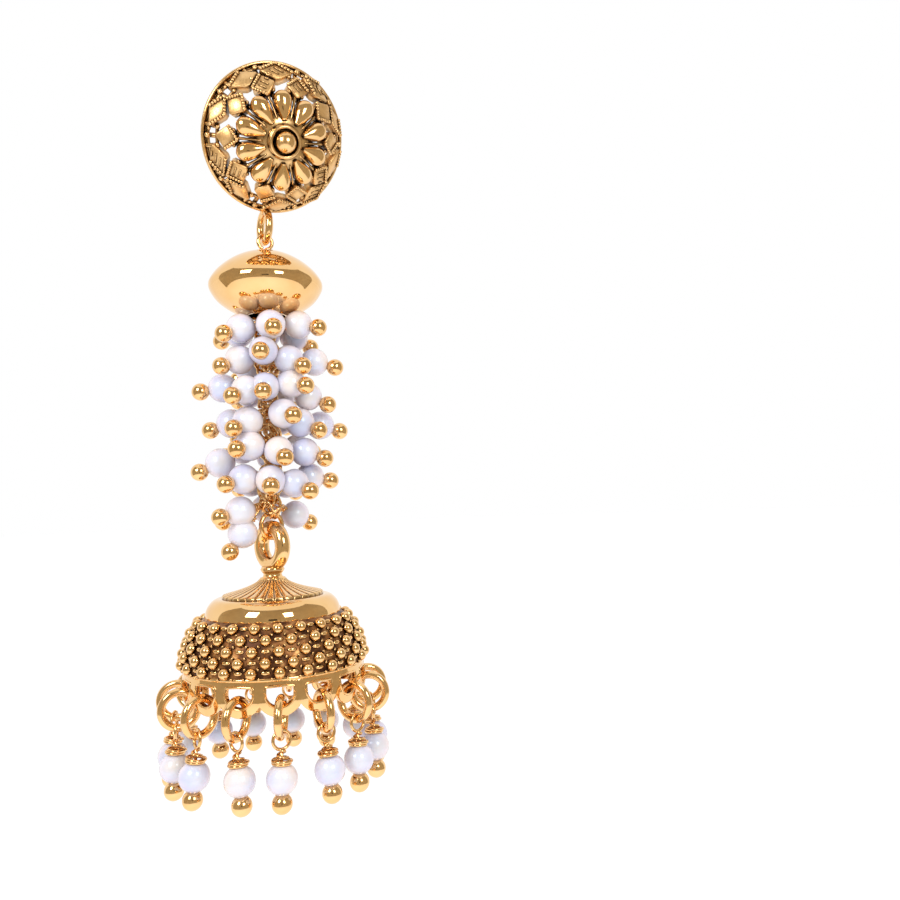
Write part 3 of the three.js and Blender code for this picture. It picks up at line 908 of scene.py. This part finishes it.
def band_point(angle, z, lift=0.0):
    """A point on the band's face, which is rounded a little from top to foot."""
    middle = (BAND_TOP + BELL_FOOT) / 2
    back = BAND_CROWN * ((z - middle) / (BAND_TOP - middle)) ** 2
    radius = BAND_RADIUS - 0.02 - back + lift
    return radius * math.cos(angle), radius * math.sin(angle), z


def build_frames():
    """A rounded frame round each window, which catches the light along its edge."""
    frames = Shape()
    for index in range(RINGS):
        azimuth = math.radians(FIRST_RING) + index * TAU / RINGS
        path = []
        for angle in np.linspace(-math.pi, math.pi, 72, endpoint=False):
            reach = window_edge(angle) + 0.1
            path.append(band_point(azimuth + reach * math.sin(angle) / BAND_RADIUS,
                                   ARCH_Z - reach * math.cos(angle), -0.05))
        frames.add(*tube(path, FRAME_WIRE, 8, closed=True))
    finish_bell(frames, "bell_window_frames", MIRROR, "mirror_gold")


def build_band():
    """The scalloped band: one cell of radial strips for each window, bent round the bell."""
    pitch = TAU / RINGS
    half = BAND_RADIUS * pitch / 2
    corner = math.pi - math.atan2(half, BAND_TOP - ARCH_Z)
    notch = math.asin(min(1, half / SCALLOP))
    window_corner = math.pi - math.atan2(WINDOW_HALF, WINDOW_TOP - ARCH_Z)
    stops = sorted({0, notch, math.pi / 2, window_corner, corner, math.pi})
    angles = []
    for low, high in zip(stops, stops[1:]):
        angles += list(np.linspace(low, high, max(2, round((high - low) / TURN)), endpoint=False))
    angles = angles + [math.pi] + [-a for a in angles[::-1] if a > 0]
    count = len(angles)
    shares = (0, 0.2, 0.5, 0.8, 1)
    wide = len(shares)
    flat = []
    faces = []
    for index in range(RINGS):
        azimuth = math.radians(FIRST_RING) + index * pitch
        start = len(flat)
        for angle in angles:
            near, far = window_edge(angle), cell_edge(angle, half)
            for share in shares:
                distance = near + (far - near) * share
                across = distance * math.sin(angle)
                flat.append((azimuth + across / BAND_RADIUS, ARCH_Z - distance * math.cos(angle)))
        for step in range(count):
            after = (step + 1) % count
            for row in range(wide - 1):
                faces.append((start + step * wide + row, start + step * wide + row + 1,
                              start + after * wide + row + 1, start + after * wide + row))
    band = Shape()
    band.add([band_point(a, z) for a, z in flat], faces)
    thing = finish_bell(band, "bell_band", MIRROR, "mirror_gold")
    weld = thing.modifiers.new("weld", "WELD")
    weld.merge_threshold = 0.01 * MM
    solid = thing.modifiers.new("thickness", "SOLIDIFY")
    solid.thickness = BAND_THICK * MM
    solid.offset = -1
    bevel = thing.modifiers.new("edges", "BEVEL")
    bevel.width = BAND_BEVEL * MM
    bevel.segments = 3
    bevel.limit_method = "ANGLE"
    apply_modifiers(thing)
    lip = Shape()
    lip.add(*ring(BAND_RADIUS - 0.28, WIRE_ABOVE_BAND, 120, 12), origin=UP * (BAND_TOP + 0.02))
    finish_bell(lip, "bell_band_wire", MIRROR, "mirror_gold")


def apply_modifiers(thing):
    """Makes the modifiers' result the object's own mesh."""
    depsgraph = bpy.context.evaluated_depsgraph_get()
    mesh = bpy.data.meshes.new_from_object(thing.evaluated_get(depsgraph))
    thing.modifiers.clear()
    thing.data = mesh


# ---------------------------------------------------------------- fringe
FRINGE_R = 10.2
FRINGE_OUTER = 2.2
FRINGE_WIRE = 0.41
DROP_LOOP = 0.88
DROP_WIRE = 0.165
DROP_R = 10.5
DROP_BALL = 1.0
PEARL_Z = -65.5
BALL_Z = -67.75
SWING = 3  # degrees that the drops hang outward
COIL_STEPS = 90
COIL_TURNS = 3.4


def build_fringe():
    """A jump ring through each window, turned a little at random, with its drop."""
    ring_z = centre("fringe_ring_01")[2]
    loop_top = ring_z - FRINGE_OUTER + 2 * FRINGE_WIRE + 0.07 + DROP_WIRE
    for index in range(RINGS):
        azimuth = FIRST_RING + index * 360 / RINGS
        number = f"{index + 1:02d}"
        jump = Shape()
        twist = turn_z(azimuth + chance.uniform(-12, 12) - 6) @ UPRIGHT
        jump.add(*ring(FRINGE_OUTER - FRINGE_WIRE, FRINGE_WIRE, 64, 18), twist,
                 polar(FRINGE_R, azimuth, ring_z))
        finish_bell(jump, f"jump_ring_{number}", WIRE, "plain_gold", f"fringe_ring_{number}")
        build_drop(azimuth, number, loop_top)


def build_drop(azimuth, number, loop_top):
    """A loop of thin wire coiled into a cap over the pearl, and a gold ball under the pearl."""
    sway = turn_x(math.radians(chance.uniform(-6, 6))) @ turn_z(chance.uniform(-30, 30))
    matrix = turn_z(azimuth) @ turn_y(math.radians(-SWING)) @ sway
    hook = polar(DROP_R, azimuth, loop_top)
    metal = Shape()
    pearl = Shape()
    metal.add(*ring(DROP_LOOP, DROP_WIRE, 44, 10), matrix @ turn_z(90) @ UPRIGHT,
              hook - matrix @ (UP * DROP_LOOP))
    low = loop_top - 2 * DROP_LOOP
    shaft = [matrix @ (UP * (z - loop_top)) + hook for z in np.linspace(low, BALL_Z, 6)]
    metal.add(*tube(shaft, DROP_WIRE, 8))
    height = low - (PEARL_Z + PEARL_RADIUS)
    coil = circle(1.0, COIL_STEPS, chance.uniform(0, TAU), COIL_TURNS * TAU, 0)
    shares = np.linspace(0, 1, COIL_STEPS)
    spread = np.interp(shares, (0, 0.3, 0.6, 1), (0.24, 0.4, 0.98, 0.78))
    coil[:, 0] *= spread
    coil[:, 1] *= spread
    coil[:, 2] = -np.interp(shares, (0, 0.4, 1), (0.0, 0.62, 1.0)) * (height + 0.12)
    metal.add(*tube(coil, DROP_WIRE * 0.92, 8), matrix, hook + matrix @ (UP * (low - loop_top)))
    metal.add(*ball(DROP_BALL, 32, 16), matrix, hook + matrix @ (UP * (BALL_Z - loop_top)))
    pearl.add(*ball(PEARL_RADIUS, 40, 20), matrix, hook + matrix @ (UP * (PEARL_Z - loop_top)))
    finish_bell(metal, f"drop_wire_{number}", WIRE, "plain_gold", f"pearl_drop_{number}")
    finish_bell(pearl, f"drop_pearl_{number}", PEARL, "pearl", f"pearl_drop_{number}")


# ---------------------------------------------------------------- studio
CAMERA_YAW = 29.6  # degrees from the Y axis
CAMERA_PITCH = 3.1
CAMERA_ROLL = 2.0
CAMERA_DEPTH = 90.0
CAMERA_SIDE = 19.8
CAMERA_Z = -39.0
SENSOR_WIDTH = 36
FOCAL_LENGTH = 32.8


def build_camera():
    """A near camera to the right of the earring, at the height of the cluster's foot."""
    yaw = math.radians(CAMERA_YAW)
    ahead = np.array([math.sin(yaw), math.cos(yaw), 0])
    right = np.array([math.cos(yaw), -math.sin(yaw), 0])
    place = HANG - ahead * CAMERA_DEPTH + right * CAMERA_SIDE + UP * CAMERA_Z
    pitch = math.radians(CAMERA_PITCH)
    look = ahead * math.cos(pitch) + UP * math.sin(pitch)
    up = UP * math.cos(pitch) - ahead * math.sin(pitch)
    roll = math.radians(CAMERA_ROLL)
    x = right * math.cos(roll) - up * math.sin(roll)
    y = up * math.cos(roll) + right * math.sin(roll)
    data = bpy.data.cameras.new("camera")
    data.sensor_width = SENSOR_WIDTH
    data.lens = FOCAL_LENGTH
    data.clip_start = 5 * MM
    camera = bpy.data.objects.new("camera", data)
    bpy.context.scene.collection.objects.link(camera)
    matrix = np.eye(4)
    matrix[:3, 0] = x
    matrix[:3, 1] = y
    matrix[:3, 2] = -look
    matrix[:3, 3] = place * MM
    camera.matrix_world = Matrix(matrix.tolist())
    bpy.context.scene.camera = camera
    return place, look, x, y


def soft_box(name, place, target, size, power):
    """A soft rectangular light that faces the target."""
    data = bpy.data.lights.new(name, "AREA")
    data.shape = "RECTANGLE"
    data.size = size[0] * MM
    data.size_y = size[1] * MM
    data.energy = power
    light = bpy.data.objects.new(name, data)
    bpy.context.scene.collection.objects.link(light)
    matrix = np.eye(4)
    matrix[:3, :3] = facing(place - target)
    matrix[:3, 3] = place * MM
    light.matrix_world = Matrix(matrix.tolist())


def card(name, shape, colour):
    """A matt card that only the reflections show."""
    material, tree, shader, where = nodes_of(name)
    weave = add_noise(tree, where, 20, 2)
    low = tuple(channel * 0.85 for channel in colour)
    tree.links.new(add_ramp(tree, weave, [(0.3, low), (0.7, colour)]), shader.inputs["Base Color"])
    shader.inputs["Roughness"].default_value = 0.9
    thing = shape.make(name, material)
    thing.visible_camera = False
    thing.visible_diffuse = False
    thing.visible_shadow = False


CURTAIN_RADIUS = 150
CURTAIN_REACH = 102  # degrees to each side of the camera
CURTAIN_FOOT = -108
CURTAIN_TOP = 190
CURTAIN_STEPS = 48
KHAKI = (0.40, 0.35, 0.26)
DARK = (0.03, 0.028, 0.026)
SIGN = {"half_width": 12, "half_height": 9, "behind": 12}  # the dark card behind the camera
FLOOR_DROP = 45  # from the foot of a pearl drop to the floor
FLOOR_RADIUS = 2500
FLOOR_GLOW = 0.15
WHITE = (1.0, 1.0, 1.0, 1)
TARGET_Z = -38  # height that the lights face
# Where each light stands from the camera, its size in mm and its power in watts.
LIGHTS = {
    "key": {"right": -72, "above": 60, "ahead": -5, "size": (40, 52), "power": 0.07},
    "fill": {"right": 58, "above": 55, "ahead": -10, "size": (36, 48), "power": 0.052},
}


def build_curtain(place):
    """A khaki curtain bent round behind the camera, which the polished gold mirrors."""
    curtain = Shape()
    middle = math.degrees(math.atan2(*(place - HANG)[1::-1]))
    turns = np.linspace(middle - CURTAIN_REACH, middle + CURTAIN_REACH, CURTAIN_STEPS)
    verts = [polar(CURTAIN_RADIUS, turn, z) for turn in turns for z in (CURTAIN_FOOT, CURTAIN_TOP)]
    faces = [(2 * k, 2 * k + 1, 2 * k + 3, 2 * k + 2) for k in range(CURTAIN_STEPS - 1)]
    curtain.add(verts, faces, origin=HANG)
    card("khaki_curtain", curtain, KHAKI)


def build_floor():
    """A wide pale disc under the earring."""
    material, tree, shader, where = nodes_of("pale_floor")
    tone = add_noise(tree, where, 6, 2)
    colour = add_ramp(tree, tone, [(0.3, (0.86, 0.86, 0.87)), (0.7, (0.89, 0.89, 0.89))])
    tree.links.new(colour, shader.inputs["Base Color"])
    shader.inputs["Roughness"].default_value = 0.9
    shader.inputs["Specular IOR Level"].default_value = 0.1
    shader.inputs["Emission Color"].default_value = WHITE
    shader.inputs["Emission Strength"].default_value = FLOOR_GLOW
    floor = Shape()
    z = corners("pearl_drop_01")[0][2] - FLOOR_DROP
    floor.add(*lathe([(FLOOR_RADIUS, z), (0, z)], 64))
    floor.make("floor", material)


def build_studio(place, look, x, y):
    """The white surroundings, two soft lights over the camera, and what the gold mirrors."""
    scene = bpy.context.scene
    world = bpy.data.worlds.new("studio")
    world.use_nodes = True
    background = world.node_tree.nodes["Background"]
    background.inputs["Color"].default_value = WHITE
    background.inputs["Strength"].default_value = 1.0
    scene.world = world
    scene.view_settings.view_transform = "Standard"
    scene.view_settings.look = "None"
    build_floor()
    target = HANG + UP * TARGET_Z
    for name, light in LIGHTS.items():
        spot = place + x * light["right"] + y * light["above"] + look * light["ahead"]
        soft_box(name, spot, target, light["size"], light["power"])
    build_curtain(place)
    sign = Shape()
    w, h = SIGN["half_width"], SIGN["half_height"]
    sign.add([(-w, -h, 0), (w, -h, 0), (w, h, 0), (-w, h, 0)], [(0, 1, 2, 3)],
             facing(place - target), place - look * SIGN["behind"])
    card("camera_card", sign, DARK)


build_stud()
build_stud_loop()
build_post()
build_eye_pin()
build_bead()
build_chain()
build_end_link()
build_cluster()
build_bell_top()
build_cone()
build_wall()
build_band()
build_frames()
build_fringe()
build_studio(*build_camera())
